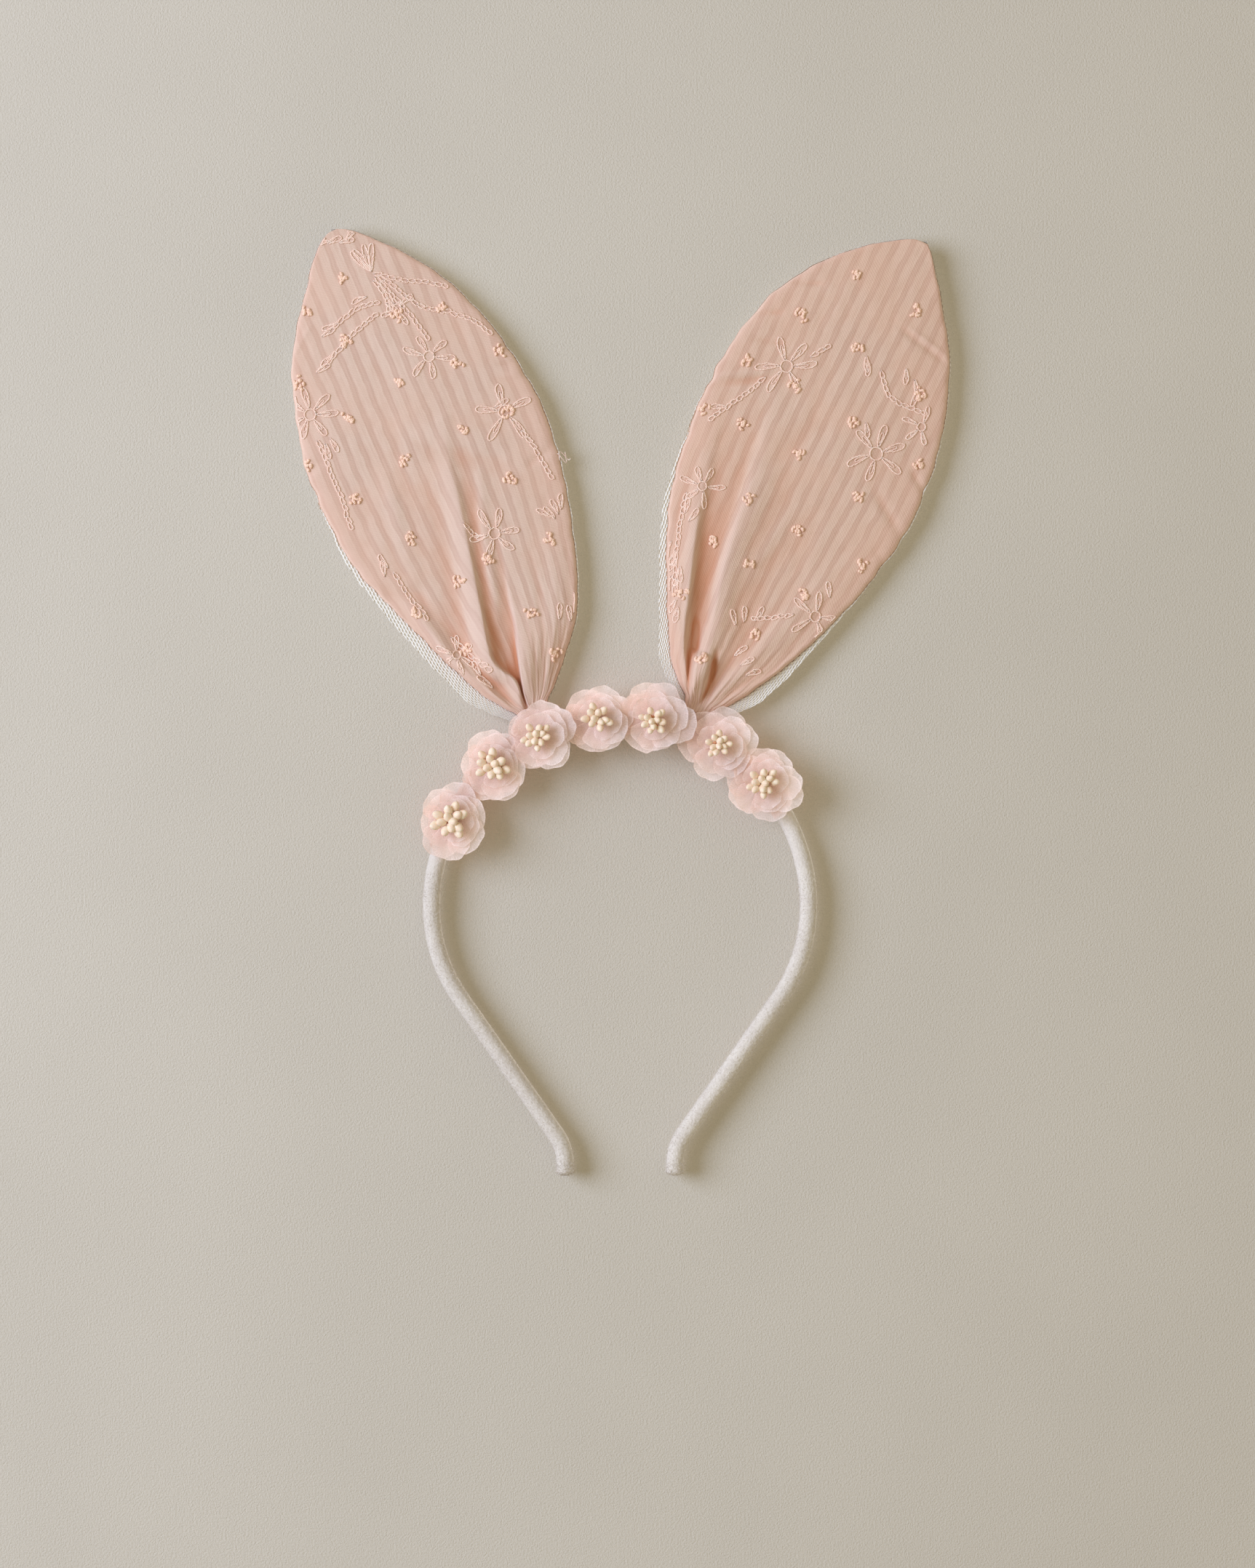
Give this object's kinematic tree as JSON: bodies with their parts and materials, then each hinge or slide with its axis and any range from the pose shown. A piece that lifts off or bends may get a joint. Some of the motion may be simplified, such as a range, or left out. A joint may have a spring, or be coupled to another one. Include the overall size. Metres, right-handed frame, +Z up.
{
  "type": "animal ears headband",
  "caption": "Slim velvet-wrapped headband with two tall leaf-shaped fabric ears and a row of small chiffon flowers; the ears tilt and the arms spring open.",
  "frame": {"origin": "inner top of the band, at the middle of its crown, where it sits on the head", "axes": "+Z up through the crown as worn, +X to the right seen from the front, the flowers face -Y"},
  "size_m": [0.2118, 0.0178, 0.3011],
  "materials": {
    "band_core": "springy moulded strip, hidden",
    "velvet": "short-pile ivory velvet",
    "chiffon": "sheer pale pink chiffon with frayed edges",
    "cotton": "self-striped peach cotton with raised thread embroidery",
    "knit": "fine white mesh knit",
    "stiffener": "stiff felted interlining, hidden",
    "felt": "pressed felt",
    "stamen": "matte cream pips on thread stems",
    "wire": "annealed wire"
  },
  "bodies": {
    "crown": {"crown_core": "band_core", "crown_cover": "velvet", "garland_ribbon": "chiffon", "left_ear_tie": "wire", "right_ear_tie": "wire", "flower_1_backing": "felt", "flower_2_backing": "felt", "flower_3_backing": "felt", "flower_4_backing": "felt", "flower_5_backing": "felt", "flower_6_backing": "felt", "flower_7_backing": "felt", "flower_1_outer_petals": "chiffon", "flower_2_outer_petals": "chiffon", "flower_3_outer_petals": "chiffon", "flower_4_outer_petals": "chiffon", "flower_5_outer_petals": "chiffon", "flower_6_outer_petals": "chiffon", "flower_7_outer_petals": "chiffon", "flower_1_inner_petals": "chiffon", "flower_2_inner_petals": "chiffon", "flower_3_inner_petals": "chiffon", "flower_4_inner_petals": "chiffon", "flower_5_inner_petals": "chiffon", "flower_6_inner_petals": "chiffon", "flower_7_inner_petals": "chiffon", "flower_1_stamens": "stamen", "flower_2_stamens": "stamen", "flower_3_stamens": "stamen", "flower_4_stamens": "stamen", "flower_5_stamens": "stamen", "flower_6_stamens": "stamen", "flower_7_stamens": "stamen"},
    "left_arm": {"left_arm_core": "band_core", "left_arm_cover": "velvet", "left_tip_seal": "velvet"},
    "right_arm": {"right_arm_core": "band_core", "right_arm_cover": "velvet", "right_tip_seal": "velvet"},
    "left_ear": {"left_ear_roll": "cotton", "left_ear_front": "cotton", "left_ear_back": "knit", "left_ear_stiffener": "stiffener", "left_ear_wire": "wire"},
    "right_ear": {"right_ear_roll": "cotton", "right_ear_front": "cotton", "right_ear_back": "knit", "right_ear_stiffener": "stiffener", "right_ear_wire": "wire"}
  },
  "joints": [
    {"name": "left_ear_tilt", "type": "hinge", "parent": "crown", "child": "left_ear", "pos_m": [-0.02674, 0, 0.00277], "axis": [-0.9135, 0, -0.4067], "range_deg": [-22, 60]},
    {"name": "right_ear_tilt", "type": "hinge", "parent": "crown", "child": "right_ear", "pos_m": [0.0241, 0, 0.00387], "axis": [-0.9304, 0, 0.3665], "range_deg": [-22, 60]},
    {"name": "left_arm_flex", "type": "hinge", "parent": "crown", "child": "left_arm", "pos_m": [-0.06, 0, -0.0573], "axis": [0, 1, 0], "range_deg": [-6, 25], "stiffness_Nm_per_rad": 0.25},
    {"name": "right_arm_flex", "type": "hinge", "parent": "crown", "child": "right_arm", "pos_m": [0.06, 0, -0.0573], "axis": [0, -1, 0], "range_deg": [-6, 25], "stiffness_Nm_per_rad": 0.25}
  ]
}
